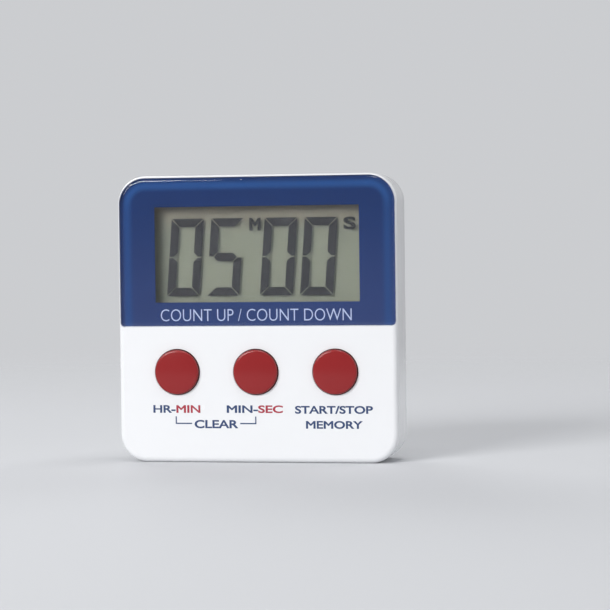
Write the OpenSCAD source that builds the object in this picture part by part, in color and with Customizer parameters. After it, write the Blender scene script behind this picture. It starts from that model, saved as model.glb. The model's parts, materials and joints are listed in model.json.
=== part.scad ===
// Magnetic kitchen timer: a two-shell case with a clear display lens, three push buttons,
// a sliding battery door, a fold-out stand and a mode switch on its back.
// The back face looks along +Y, the display looks along -Y, +Z is up.
// The origin is the centre of the magnet's outer face. Lengths are in millimetres.

/* [Case] */
// Width of the case
case_w = 65; // [64:0.5:67]
// Height of the case
case_h = 65.8; // [65:0.2:68]
// Depth of the case, without magnet and buttons
case_d = 14.2; // [14.2:0.1:15]
// Radius of the case's four corners
corner_r = 6.5; // [6:0.1:7]
// Rounding of the front and back edges
edge_r = 1.3; // [1:0.1:1.4]
// Wall thickness of both shells
wall = 1.6; // [1.5:0.05:1.7]
// Depth of the rear shell
rear_depth = 5; // [4.8:0.1:5.4]
// Centres of the case screws from the middle, across and up
screw_pos = [28.2, 28.2];

/* [Lens and display] */
// Height of the lens's lower edge above the case's middle
lens_bottom = -1.6; // [-1.8:0.1:-1.4]
// Gap between the lens and the case's side
lens_inset = 0.5; // [0.4:0.05:0.6]
// Thickness of the lens
lens_t = 1.5; // [1.3:0.05:1.5]
// How far the lens stands out of the case
lens_proud = 0.25; // [0.1:0.05:0.4]
// Width of the display window
window_w = 47.6; // [46:0.2:48]
// Height of the display window
window_h = 21.9; // [21:0.1:22]
// Height of the window's centre above the case's middle
window_z = 14.8; // [14.6:0.1:14.9]

/* [Buttons] */
// Diameter of a button
button_d = 10.2; // [10:0.1:10.6]
// Spacing of the three buttons
button_gap = 18.4; // [18:0.1:18.6]
// How far the button row lies to the left of the middle
button_left = 0.3; // [0:0.1:0.4]
// Height of the button row
button_z = -12.1; // [-12.3:0.1:-12]
// How far a button stands out of the case
button_proud = 1.2; // [1:0.1:1.4]
// Gap around a button in its hole
button_play = 0.2; // [0.15:0.05:0.25]

/* [Back] */
// Diameter of the magnet
magnet_d = 20; // [18:0.5:20]
// Thickness of the magnet
magnet_t = 3; // [2.5:0.1:3]
// How far the magnet stands out of the back
magnet_proud = 0.4; // [0.3:0.05:0.5]
// Outer width of the stand
stand_w = 36; // [35:0.5:37]
// Width of the stand's legs
stand_leg = 5.2; // [5:0.1:5.3]
// Height of the stand's hinge axis
hinge_z = -13.5; // [-13.7:0.1:-13.3]
// Height of the stand's free end
stand_top = 23.6; // [23.4:0.1:24]
// Width of the battery door
door_w = 46.2; // [46:0.1:46.4]
// Height of the battery door's upper edge
door_top = -18.65; // [-18.7:0.05:-18.6]

/* [Battery] */
// Diameter of an AAA cell
cell_d = 10.5;
// Length of an AAA cell with its terminal
cell_l = 44.5;
// Height of the cell's axis
cell_z = -24.9; // [-24.9:0.05:-24.8]

/* [Hidden] */
$fn = 64;
HULL_FN = 64;
EPS = 0.01;

back_y = -magnet_proud;
front_y = back_y - case_d;
parting_y = back_y - rear_depth;
rear_wall_y = back_y - wall;
front_wall_y = front_y + wall;

// Stack behind the lens, front to back
lens_front_y = front_y - lens_proud;
lens_back_y = lens_front_y + lens_t;
mask_t = 0.1;
mask_back_y = lens_back_y + mask_t;
tape_t = 0.15;
recess_y = mask_back_y + tape_t;
lens_shelf_t = 1.4;
display_wall_y = recess_y + lens_shelf_t;
film_t = 0.2;
glass_t = 0.7;
polariser_y = display_wall_y + 0.05;
front_glass_y = polariser_y + film_t;
rear_glass_y = front_glass_y + glass_t;
reflector_y = rear_glass_y + glass_t;
glass_w = 50.4;
front_glass_z = [-1.2, 27.2];
rear_glass_z = [2, 27.2];
lens_play = 0.1;
lens_corner_r = 0.9;
lens_edge_r = 0.8;
lens_shelf_z = -3;

// Circuit board
board_y = -9.2;
board_t = 1;
board_back_y = board_y + board_t;
board_w = 58.8;
board_z = [-17.4, 30.4];
board_notch = [25.6, 25.6];
board_screws_at = [[-27.2, -4.4], [27.2, -4.4], [-9.2, button_z], [9.2, button_z]];

// Fasteners
post_r = 2;
rear_boss_r = 2.75;
case_screw_r = 1.1;
case_screw_head_r = 1.9;
case_screw_head_t = 1.2;
case_screw_l = 7;
case_screw_seat_y = -2.4;
board_screw_r = 0.85;
board_screw_head_r = 1.6;
board_screw_head_t = 1;
board_screw_l = 3.8;
thread_bite = 0.2;

// Buttons
button_x = [-button_gap - button_left, -button_left, button_gap - button_left];
button_r = button_d / 2;
button_front_y = front_y - button_proud;
button_flange_r = button_r + 0.6;
button_flange_y = front_wall_y + 0.05;
button_flange_t = 0.8;
button_end_y = -11.4;
collar_r = [6.05, 6.7];
collar_cut_z = -18.1;
button_key = [0.9, 6.6];
collar_end_y = -11.4;
cap_hollow_r = [2.2, 4.3];
cap_wall_y = front_y + 0.2;
pill_r = 1.5;
pill_t = 0.35;
keypad_edge = [5.2, 5.6, 6];
dome_top_y = -11.35;
dome_seat_y = -10.5;
keypad_y = -9.8;

// Stand, hinge and pocket
hinge_y = -2.1;
knuckle_r = 1.6;
stand_t = 2.2;
stand_back_y = hinge_y + knuckle_r;
hinge_pin_r = 0.9;
hinge_pin_l = 1.2;
hinge_play = 0.05;
stand_play = 0.3;
stop_drop = 2.15;
pad_y = -4.6;
pad_x = 20.6;
pad_z = [-17, 26];

// Sounder
sounder_z = 14;
sounder_r = 7.5;
sound_hole_r = 0.6;
sound_ring_r = 2.4;

// Mode switch
switch_x = 24.3;
switch_z = 4;
switch_travel = 2;
switch_body = [3.6, 3.4, 8.6];

// Battery compartment
cell_r = cell_d / 2;
cell_y = -7.45;
nub_l = 1;
nub_r = 1.9;
tub_x = 24.8;
tub_wall = 0.9;
tub_z = [cell_z - cell_r - 0.4, cell_z + cell_r + 0.4];
tub_front_y = -12.9;
tub_foot = 0.65;
tub_slot = 3.2;
lead_notch_x = tub_x - 0.55;
lead_notch_w = 1.3;
lead_notch_y = [-8.2, -4.8];
contact_t = 0.4;
cell_end_x = tub_x - contact_t - 0.02;
tongue_w = 1;
tongue_t = 0.65;
door_play = 0.15;

// ---------- shared shapes ----------

// A flat outline drawn in X and Z, made solid between two depths
module plate(y0, y1) {
    translate([0, y1, 0]) rotate([90, 0, 0]) linear_extrude(y1 - y0) children();
}

// A round rod along Y
module rod(y0, y1, r, x = 0, z = 0) {
    translate([x, y1, z]) rotate([90, 0, 0]) cylinder(h = y1 - y0, r = r);
}

// A solid turned about the Y axis from [radius, y] points
module turned(points, x = 0, z = 0) {
    translate([x, 0, z]) rotate([90, 0, 0]) rotate_extrude() polygon([for (p = points) [p[0], -p[1]]]);
}

// A box from its low corner to its high corner
module block(low, high) {
    translate(low) cube(high - low);
}

// A rectangle with rounded corners, centred
module rounded_rect(w, h, r) {
    square([w - 2 * r, h], center = true);
    square([w, h - 2 * r], center = true);
    for (sx = [-1, 1], sz = [-1, 1]) translate([sx * (w / 2 - r), sz * (h / 2 - r)]) circle(r);
}

// The case's outline, drawn in by an inset
module case_outline(inset) {
    rounded_rect(case_w - 2 * inset, case_h - 2 * inset, corner_r - inset);
}

// A disc between two depths whose edge is rounded at the y0 end
module soft_disc(y0, y1, r, edge) {
    steps = 6;
    arc = [for (i = [0 : steps]) [r - edge + edge * cos(90 * i / steps), y0 + edge - edge * sin(90 * i / steps)]];
    turned(concat([[0, y1], [r, y1]], arc, [[0, y0]]), $fn = HULL_FN);
}

// The case's block between the parting line and one of its two faces
module case_block(y_face, y_part) {
    hull() {
        for (sx = [-1, 1], sz = [-1, 1]) {
            translate([sx * (case_w / 2 - corner_r), 0, sz * (case_h / 2 - corner_r)])
                if (y_face < y_part) soft_disc(y_face, y_part, corner_r, edge_r);
                else mirror([0, 1, 0]) soft_disc(-y_face, -y_part, corner_r, edge_r);
        }
    }
}

// The lens's outline: rounded above, nearly square below
module lens_outline(inset) {
    intersection() {
        case_outline(lens_inset + inset);
        translate([-case_w / 2, lens_bottom + inset]) square([case_w, case_h]);
    }
}

// Places the children at the four case screws
module at_case_screws() {
    for (sx = [-1, 1], sz = [-1, 1]) translate([sx * screw_pos[0], 0, sz * screw_pos[1]]) children();
}

// A round tube swept along a route of points, as one closed solid
function unit(v) = v / norm(v);
function curve_point(a, b, c, d, t) =
    0.5 * (2 * b + (c - a) * t + (2 * a - 5 * b + 4 * c - d) * t * t + (3 * b - a - 3 * c + d) * t * t * t);
function smooth_route(p, steps) = concat(
    [for (i = [0 : len(p) - 2], k = [0 : steps - 1])
        curve_point(p[max(i - 1, 0)], p[i], p[i + 1], p[min(i + 2, len(p) - 1)], k / steps)],
    [p[len(p) - 1]]);
function heading(p, i) = unit(p[min(i + 1, len(p) - 1)] - p[max(i - 1, 0)]);
function side_of(dir, last) = unit(last - dir * (last * dir));
function frames(p, i, last) = i == len(p) ? []
    : let (side = side_of(heading(p, i), last)) concat([side], frames(p, i + 1, side));
module tube(route, r, sides, start_side) {
    side = frames(route, 0, start_side);
    rings = [for (i = [0 : len(route) - 1], k = [0 : sides - 1])
        let (up = cross(heading(route, i), side[i]), a = 360 * k / sides)
        route[i] + r * (cos(a) * side[i] + sin(a) * up)];
    last = (len(route) - 1) * sides;
    walls = [for (i = [0 : len(route) - 2], k = [0 : sides - 1])
        let (n = (k + 1) % sides)
        [i * sides + k, i * sides + n, (i + 1) * sides + n, (i + 1) * sides + k]];
    polyhedron(rings, concat(walls, [[for (k = [sides - 1 : -1 : 0]) k]],
        [[for (k = [0 : sides - 1]) last + k]]));
}

// A thin insulated lead along a route
module lead(route) {
    tube(smooth_route(route, 5), 0.5, 8, [1, 0, 0]);
}

// A self-tapping screw with a domed cross-slotted head, its head towards +Y
module screw(seat_y, r, length, head_r, head_t) {
    difference() {
        union() {
            rod(seat_y - length + r, seat_y, r);
            turned([[0, seat_y - length], [r, seat_y - length + 1.2 * r], [0, seat_y - length + 1.2 * r]]);
            turned([[0, seat_y], [head_r, seat_y], [head_r, seat_y + head_t * 0.45],
                [head_r * 0.72, seat_y + head_t * 0.9], [0, seat_y + head_t]]);
        }
        for (turn = [0, 90]) rotate([0, turn, 0])
            block([-head_r * 0.6, seat_y + head_t * 0.4, -head_r * 0.12],
                [head_r * 0.6, seat_y + head_t + EPS, head_r * 0.12]);
    }
}

// ---------- case ----------

module front_case() {
    color("white") difference() {
        union() {
            difference() {
                case_block(front_y, parting_y);
                front_hollow();
                front_rebate();
            }
            front_posts();
            for (x = button_x) button_collar(x);
        }
        plate(front_y - 1, recess_y) lens_outline(-lens_play);
        translate([0, 0, window_z]) plate(recess_y - 1, display_wall_y + 1)
            square([window_w + 1.2, window_h + 1.2], center = true);
        for (x = button_x) rod(front_y - 1, front_wall_y + 1, button_r + button_play, x, button_z);
        front_pilot_holes();
    }
}

// The room inside the front shell: deep below the display and shallow behind it
module front_hollow() {
    plate(display_wall_y, parting_y + 1) case_outline(wall);
    plate(front_wall_y, display_wall_y + 1) intersection() {
        case_outline(wall);
        translate([-case_w / 2, -case_h / 2]) square([case_w, case_h / 2 + lens_shelf_z]);
    }
}

// The step that the rear shell's lip drops into
module front_rebate() {
    plate(parting_y - 1.1, parting_y + 1) case_outline(wall / 2);
}

module front_posts() {
    at_case_screws() rod(front_wall_y - EPS, parting_y + 0.1, post_r);
    for (p = board_screws_at) rod(front_wall_y - EPS, board_y, post_r, p[0], p[1]);
}

// A ring that guides a button's flange, with a notch for its key, cut flat beside the compartment
module button_collar(x) {
    difference() {
        rod(front_wall_y - EPS, collar_end_y, collar_r[1], x, button_z);
        rod(front_wall_y - 1, collar_end_y + 1, collar_r[0], x, button_z);
        block([x - button_key[0] - 0.2, front_wall_y - 1, button_z],
            [x + button_key[0] + 0.2, collar_end_y + 1, button_z + button_key[1] + 1]);
        block([x - 10, front_wall_y - 1, button_z - 10], [x + 10, collar_end_y + 1, collar_cut_z]);
    }
}

module front_pilot_holes() {
    at_case_screws() rod(case_screw_seat_y - case_screw_l - 1, parting_y + 1, case_screw_r - thread_bite);
    for (p = board_screws_at)
        rod(board_y - board_screw_l, board_y + 1, board_screw_r - thread_bite, p[0], p[1]);
}

module rear_case() {
    color("white") difference() {
        union() {
            difference() {
                case_block(back_y, parting_y);
                plate(parting_y - 1, rear_wall_y) case_outline(wall);
            }
            rear_lip();
            block([-pad_x, pad_y, pad_z[0]], [pad_x, rear_wall_y + EPS, pad_z[1]]);
            at_case_screws() rod(parting_y + 0.15, rear_wall_y + EPS, rear_boss_r);
            rod(pad_y - 1, pad_y + EPS, sounder_r + 1.2, 0, sounder_z);
            battery_tub();
        }
        stand_pocket();
        rod(-magnet_t - 0.05, 1, magnet_d / 2 + 0.1);
        sounder_seat();
        switch_opening();
        at_case_screws() {
            rod(parting_y - 1, 1, case_screw_r + 0.15);
            rod(case_screw_seat_y, 1, case_screw_head_r + 0.2);
        }
        door_opening();
    }
}

// The lip that drops into the front shell's rebate
module rear_lip() {
    difference() {
        plate(parting_y - 1, parting_y + 1) case_outline(wall / 2 + 0.05);
        plate(parting_y - 2, parting_y + 2) case_outline(wall);
        at_case_screws() rod(parting_y - 2, parting_y + EPS, post_r + 0.15);
    }
}

// The compartment for the cell: four walls and a slotted floor
module battery_tub() {
    difference() {
        block([-tub_x - tub_wall, tub_front_y, tub_z[0] - tub_foot],
            [tub_x + tub_wall, rear_wall_y + EPS, tub_z[1] + tub_wall]);
        block([-tub_x, tub_front_y + tub_wall, tub_z[0]], [tub_x, 1, tub_z[1]]);
        block([-tub_x, tub_front_y - 1, cell_z - tub_slot], [tub_x, rear_wall_y, cell_z + tub_slot]);
        for (side = [-1, 1])
            block([side * lead_notch_x - lead_notch_w / 2, lead_notch_y[0], tub_z[1] - 1],
                [side * lead_notch_x + lead_notch_w / 2, lead_notch_y[1], tub_z[1] + 2]);
    }
    block([-tub_x - tub_wall, parting_y, -case_h / 2 + 0.8], [tub_x + tub_wall, rear_wall_y, tub_z[0]]);
}

// The recess that the folded stand lies in, with its hinge holes and a finger notch
module stand_pocket() {
    plate(stand_back_y - stand_t - 0.25, 1) difference() {
        stand_outline(stand_play);
        translate([-stand_w / 2, hinge_z - 9]) square([stand_w, 9]);
    }
    for (side = [-1, 1]) {
        block([side * (stand_w - stand_leg) / 2 - stand_leg / 2 - stand_play, hinge_y - knuckle_r - 0.25,
                hinge_z - stop_drop],
            [side * (stand_w - stand_leg) / 2 + stand_leg / 2 + stand_play, 1, hinge_z + knuckle_r + 0.4]);
        translate([side * stand_w / 2, hinge_y, hinge_z]) rotate([0, side * 90, 0])
            cylinder(h = hinge_pin_l + 0.2, r = hinge_pin_r + hinge_play);
    }
    block([-5, stand_back_y - stand_t, stand_top], [5, 1, stand_top + 1.8]);
}

module sounder_seat() {
    rod(pad_y - 2, pad_y, sounder_r + 0.1, 0, sounder_z);
    rod(pad_y - EPS, pad_y + 0.6, sounder_r - 1, 0, sounder_z);
    rod(pad_y, 1, sound_hole_r, 0, sounder_z);
    for (a = [30 : 60 : 330])
        rod(pad_y, 1, sound_hole_r, sound_ring_r * cos(a), sounder_z + sound_ring_r * sin(a));
}

module switch_opening() {
    block([switch_x - 3, back_y - 0.7, switch_z - 4.6], [switch_x + 3, 1, switch_z + 4.6]);
    block([switch_x - 1.3, rear_wall_y - 1, switch_z - 2.6], [switch_x + 1.3, 1, switch_z + 2.6]);
}

// The door's opening, open at the case's lower edge, with a groove along each side
module door_opening() {
    block([-door_w / 2 - door_play, rear_wall_y - 0.05, -case_h], [door_w / 2 + door_play, 1, door_top + door_play]);
    block([-door_w / 2 - tongue_w - door_play, rear_wall_y - 0.05, -case_h],
        [door_w / 2 + tongue_w + door_play, rear_wall_y + tongue_t + 0.1, door_top + door_play]);
}

module battery_door() {
    color("white") difference() {
        union() {
            intersection() {
                case_block(back_y, parting_y);
                block([-door_w / 2, rear_wall_y, -case_h], [door_w / 2, 1, door_top]);
            }
            for (side = [-1, 1])
                block([side * (door_w + tongue_w) / 2 - tongue_w / 2 - EPS, rear_wall_y, -case_h / 2 + edge_r],
                    [side * (door_w + tongue_w) / 2 + tongue_w / 2 + EPS, rear_wall_y + tongue_t, door_top]);
        }
        door_grip();
    }
}

// Finger grooves and an arrow that points the way the door slides
module door_grip() {
    for (i = [0 : 3]) block([-6, back_y - 0.4, door_top - 2.4 - 1.2 * i], [6, 1, door_top - 1.8 - 1.2 * i]);
    plate(back_y - 0.4, 1) translate([0, door_top - 9.6]) polygon([[-2, 1.6], [2, 1.6], [0, 0]]);
}

// The stand's outline: an arch with two legs
module stand_outline(grow) {
    outer_w = stand_w + 2 * grow;
    inner_w = stand_w - 2 * stand_leg - 2 * grow;
    high = stand_top + grow - hinge_z;
    difference() {
        arch_outline(outer_w, high, 8 + grow);
        arch_outline(inner_w, high - stand_leg - 2 * grow, 4 - grow);
    }
}

// A shape with two square lower corners at the hinge axis and two round upper corners
module arch_outline(w, high, r) {
    translate([0, hinge_z]) {
        translate([-w / 2, 0]) square([w, high - r]);
        translate([-w / 2 + r, 0]) square([w - 2 * r, high]);
        for (side = [-1, 1]) translate([side * (w / 2 - r), high - r]) circle(r);
    }
}

module stand() {
    color("gainsboro") {
        plate(stand_back_y - stand_t, stand_back_y) stand_outline(0);
        for (side = [-1, 1]) {
            translate([side * (stand_w / 2 - stand_leg), hinge_y, hinge_z]) rotate([0, side * 90, 0])
                cylinder(h = stand_leg, r = knuckle_r);
            translate([side * (stand_w / 2 - EPS), hinge_y, hinge_z]) rotate([0, side * 90, 0])
                cylinder(h = hinge_pin_l, r = hinge_pin_r);
        }
    }
}

module magnet() {
    color("dimgray") turned([[0, -magnet_t], [magnet_d / 2, -magnet_t], [magnet_d / 2, -0.3],
        [magnet_d / 2 - 0.3, 0], [0, 0]]);
}

// ---------- lens and display ----------

module display_lens() {
    color("lightblue", 0.5) hull() {
        for (side = [-1, 1]) {
            translate([side * (case_w / 2 - corner_r), 0, case_h / 2 - corner_r])
                soft_disc(lens_front_y, lens_back_y, corner_r - lens_inset, lens_edge_r);
            translate([side * (case_w / 2 - lens_inset - lens_corner_r), 0, lens_bottom + lens_corner_r])
                soft_disc(lens_front_y, lens_back_y, lens_corner_r, lens_edge_r);
        }
    }
}

module lens_mask() {
    color("navy") plate(lens_back_y, mask_back_y) difference() {
        lens_outline(0.05);
        translate([0, window_z]) square([window_w, window_h], center = true);
    }
}

module lens_tape() {
    color("lightgray") plate(mask_back_y, recess_y) difference() {
        lens_outline(1);
        translate([0, window_z]) square([window_w + 1.6, window_h + 1.6], center = true);
    }
}

// One flat layer of the display, between two heights
module display_layer(y, t, w, z) {
    block([-w / 2, y, z[0]], [w / 2, y + t, z[1]]);
}

module front_polariser() {
    color("darkseagreen") display_layer(polariser_y, film_t, glass_w - 1, [rear_glass_z[0], rear_glass_z[1] - 0.5]);
}

module front_glass() {
    color("lightcyan") display_layer(front_glass_y, glass_t, glass_w, front_glass_z);
}

module rear_glass() {
    color("lightcyan") display_layer(rear_glass_y, glass_t, glass_w, rear_glass_z);
}

module reflector() {
    color("silver") display_layer(reflector_y, film_t, glass_w - 1, [rear_glass_z[0] + 0.5, rear_glass_z[1] - 0.5]);
}

// The frame that holds the glass on the board
module display_frame() {
    frame_w = glass_w + 1.6;
    frame_z = [front_glass_z[0] - 0.9, front_glass_z[1] + 0.8];
    color("whitesmoke") difference() {
        block([-frame_w / 2, display_wall_y + 0.05, frame_z[0]], [frame_w / 2, board_y, frame_z[1]]);
        block([-glass_w / 2 - 0.1, display_wall_y - 1, front_glass_z[0] - 0.1],
            [glass_w / 2 + 0.1, reflector_y + film_t + 0.05, front_glass_z[1] + 0.1]);
        block([-glass_w / 2 + 2, display_wall_y, 6], [glass_w / 2 - 2, board_y + 1, 24]);
        block([-24, display_wall_y, -0.8], [24, board_y + 1, 1.8]);
    }
}

module elastomer_strip() {
    color("hotpink") block([-23.8, rear_glass_y, -0.6], [23.8, board_y, 1.6]);
}

// ---------- circuit board ----------

module circuit_board() {
    color("darkgreen") difference() {
        block([-board_w / 2, board_y, board_z[0]], [board_w / 2, board_back_y, board_z[1]]);
        for (side = [-1, 1])
            block([side * (board_notch[0] + 5) - 5, board_y - 1, board_notch[1]],
                [side * (board_notch[0] + 5) + 5, board_back_y + 1, board_z[1] + 1]);
        for (p = board_screws_at) rod(board_y - 1, board_back_y + 1, board_screw_r + 0.15, p[0], p[1]);
    }
}

module chip_blob() {
    color("black") turned([[0, board_back_y], [5.4, board_back_y], [5, board_back_y + 0.55],
        [3.6, board_back_y + 1.05], [0, board_back_y + 1.3]], 0, -6);
}

module quartz_crystal() {
    color("silver") translate([-17, board_back_y + 1.05, -9]) rotate([0, 90, 0]) cylinder(h = 6, r = 1);
}

module capacitors() {
    color("peru") for (x = [-8.5, 9]) block([x, board_back_y, -9.5], [x + 1.6, board_back_y + 1.2, -6.3]);
}

module resistors() {
    color("black") for (i = [0 : 3])
        block([11.8 + 2.2 * i, board_back_y, -5.2], [13 + 2.2 * i, board_back_y + 0.5, -3.2]);
}

module boost_coil() {
    color("saddlebrown") turned([[0, board_back_y], [2.6, board_back_y], [2.6, board_back_y + 0.6],
        [2, board_back_y + 0.6], [2, board_back_y + 2.6], [2.6, board_back_y + 2.6],
        [2.6, board_back_y + 3.2], [0, board_back_y + 3.2]], -25, 6);
}

module transistor() {
    color("black") block([-26, board_back_y, 12], [-23.1, board_back_y + 1.1, 13.4]);
}

module key_contacts() {
    color("gold") for (x = button_x) rod(board_y - 0.05, board_y, 1.8, x, button_z);
}

// ---------- buttons ----------

// A silicone sheet with a hollow dome under each button
module keypad() {
    color("lightgray") {
        difference() {
            block([-button_gap - keypad_edge[2], keypad_y, button_z - keypad_edge[0]],
                [button_gap + keypad_edge[2], board_y, button_z + keypad_edge[1]]);
            for (x = button_x) rod(keypad_y - 1, board_y + 1, 4, x, button_z);
            for (side = [-1, 1]) rod(keypad_y - 1, board_y + 1, post_r + 0.3, side * button_gap / 2, button_z);
        }
        for (x = button_x) turned([[0, dome_top_y], [2.7, dome_top_y], [2.9, -10.9], [4.4, keypad_y],
            [4.4, board_y], [3.6, board_y], [3.6, keypad_y + 0.1], [2.3, dome_seat_y], [0, dome_seat_y]],
            x, button_z);
    }
}

// A hollow cap with a retaining flange, a stem and a key that stops it turning
module button_cap(x) {
    steps = 5;
    edge = 0.7;
    crown = 0.1;
    rim = [for (i = [0 : steps]) [button_r - edge + edge * sin(90 * i / steps),
        button_front_y + crown + edge - edge * cos(90 * i / steps)]];
    flange_end = button_flange_y + button_flange_t;
    color("firebrick") {
        turned(concat([[0, button_front_y]], rim, [[button_r, button_flange_y],
            [button_flange_r, button_flange_y], [button_flange_r, flange_end], [cap_hollow_r[1], flange_end],
            [cap_hollow_r[1], cap_wall_y], [cap_hollow_r[0], cap_wall_y], [cap_hollow_r[0], button_end_y],
            [0, button_end_y]]), x, button_z);
        block([x - button_key[0], button_flange_y, button_z + button_r],
            [x + button_key[0], flange_end, button_z + button_key[1]]);
    }
}

// The carbon pill under a dome that closes the contact
module contact_pill(x) {
    color("black") rod(dome_seat_y, dome_seat_y + pill_t, pill_r, x, button_z);
}

module hour_button() {
    button_cap(button_x[0]);
}

module minute_button() {
    button_cap(button_x[1]);
}

module start_button() {
    button_cap(button_x[2]);
}

module hour_pill() {
    contact_pill(button_x[0]);
}

module minute_pill() {
    contact_pill(button_x[1]);
}

module start_pill() {
    contact_pill(button_x[2]);
}

// ---------- mode switch ----------

module mode_switch_body() {
    half = switch_body / 2;
    color("silver") difference() {
        block([switch_x - half[0], board_back_y, switch_z - half[2]],
            [switch_x + half[0], board_back_y + switch_body[1], switch_z + half[2]]);
        block([switch_x - 1.1, board_back_y + 1, switch_z - 2.6],
            [switch_x + 1.1, board_back_y + switch_body[1] + 1, switch_z + 2.6]);
    }
}

// The slider, resting at the lower of its two places
module mode_switch_knob() {
    z = switch_z - switch_travel / 2;
    color("black") difference() {
        block([switch_x - 1, board_back_y + 1.1, z - 1.3], [switch_x + 1, back_y - 0.3, z + 1.3]);
        for (i = [-1 : 1]) block([switch_x - 2, back_y - 0.55, z + 0.8 * i - 0.15],
            [switch_x + 2, 1, z + 0.8 * i + 0.15]);
    }
}

// ---------- sounder ----------

module sounder_plate() {
    color("gold") rod(pad_y - 0.2, pad_y, sounder_r, 0, sounder_z);
}

module sounder_ceramic() {
    color("whitesmoke") rod(pad_y - 0.4, pad_y - 0.2, sounder_r - 2.5, 0, sounder_z);
}

module sounder_lead_red() {
    color("red") lead([[0, -5.5, 14], [4, -6.6, 13], [9, -7, 10], [12, -7.1, 4], [12, -7.7, 0]]);
}

module sounder_lead_black() {
    color("black") lead([[-6.2, -5.3, 14], [-8, -6.8, 12.5], [-10, -7.1, 8], [-11, -7.1, 3], [-11, -7.7, 0]]);
}

// ---------- battery ----------

module battery_lead_red() {
    color("red") lead([[24, -6.6, -16.4], [22, -6.8, -15.4], [19, -7, -13], [17, -7.7, -11]]);
}

module battery_lead_black() {
    color("black") lead([[-24, -6.6, -16.4], [-22, -6.8, -15.4], [-20.5, -7, -13], [-20, -7.7, -11]]);
}

// A round solid along X between two ends, on the cell's axis
module cell_round(x0, x1, r) {
    translate([x0, cell_y, cell_z]) rotate([0, 90, 0]) cylinder(h = x1 - x0, r = r);
}

module battery_cell() {
    color("royalblue") cell_round(cell_end_x - cell_l + 0.3, cell_end_x - nub_l - 0.4, cell_r);
}

module battery_cap() {
    color("silver") {
        cell_round(cell_end_x - nub_l - 0.4, cell_end_x - nub_l, cell_r - 0.5);
        cell_round(cell_end_x - nub_l - EPS, cell_end_x, nub_r);
    }
}

module battery_base() {
    color("silver") cell_round(cell_end_x - cell_l, cell_end_x - cell_l + 0.3, cell_r - 0.6);
}

// A contact plate at one end of the compartment, with its solder tab
module contact_plate(side) {
    block([side * (tub_x - contact_t / 2) - contact_t / 2, -11.4, tub_z[0] + 1.2],
        [side * (tub_x - contact_t / 2) + contact_t / 2, -3.4, tub_z[1] - 0.6]);
    block([side * (tub_x - contact_t / 2) - contact_t / 2, -7.6, tub_z[1] - 1],
        [side * (tub_x - contact_t / 2) + contact_t / 2, -5.4, -16.2]);
}

module positive_plate() {
    color("silver") contact_plate(1);
}

module negative_plate() {
    color("silver") contact_plate(-1);
}

// A coil that widens towards the plate, with a closed turn at each end
module battery_spring() {
    wire_r = 0.25;
    turns = 4.5;
    start_x = -tub_x + contact_t + wire_r;
    end_x = cell_end_x - cell_l - wire_r - 0.02;
    rise = [for (i = [0 : 72]) let (s = i / 72) min(max((s - 0.16) / 0.68, 0), 1)];
    route = [for (i = [0 : 72]) let (a = 360 * turns * i / 72, r = 3.4 - 1.2 * i / 72)
        [start_x + (end_x - start_x) * rise[i], cell_y + r * cos(a), cell_z + r * sin(a)]];
    color("silver") tube(route, wire_r, 8, [1, 0, 0]);
}

// ---------- fasteners ----------

module case_screws() {
    color("silver") at_case_screws()
        screw(case_screw_seat_y, case_screw_r, case_screw_l, case_screw_head_r, case_screw_head_t);
}

module board_screws() {
    color("silver") for (p = board_screws_at) translate([p[0], 0, p[1]])
        screw(board_back_y, board_screw_r, board_screw_l, board_screw_head_r, board_screw_head_t);
}

front_case();
display_lens();
lens_mask();
lens_tape();
rear_case();
battery_door();
stand();
magnet();
front_polariser();
front_glass();
rear_glass();
reflector();
display_frame();
elastomer_strip();
circuit_board();
chip_blob();
quartz_crystal();
capacitors();
resistors();
boost_coil();
transistor();
key_contacts();
keypad();
hour_button();
minute_button();
start_button();
hour_pill();
minute_pill();
start_pill();
mode_switch_body();
mode_switch_knob();
sounder_plate();
sounder_ceramic();
sounder_lead_red();
sounder_lead_black();
battery_lead_red();
battery_lead_black();
battery_cell();
battery_cap();
battery_base();
positive_plate();
negative_plate();
battery_spring();
case_screws();
board_screws();
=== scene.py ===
# %% [markdown]
# # A magnetic kitchen timer
# The real timer is a white plastic case in two shells, with a clear lens over a liquid crystal
# display, three red push buttons, and on its back a magnet, a fold-out stand, a mode switch and a
# battery door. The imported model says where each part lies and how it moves. This lesson makes each
# part again in its own place, with the roundings, gaps, printing and surface that the real one has.

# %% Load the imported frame
import json
import math

import bmesh
import bpy
from mathutils import Matrix, Vector

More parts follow.
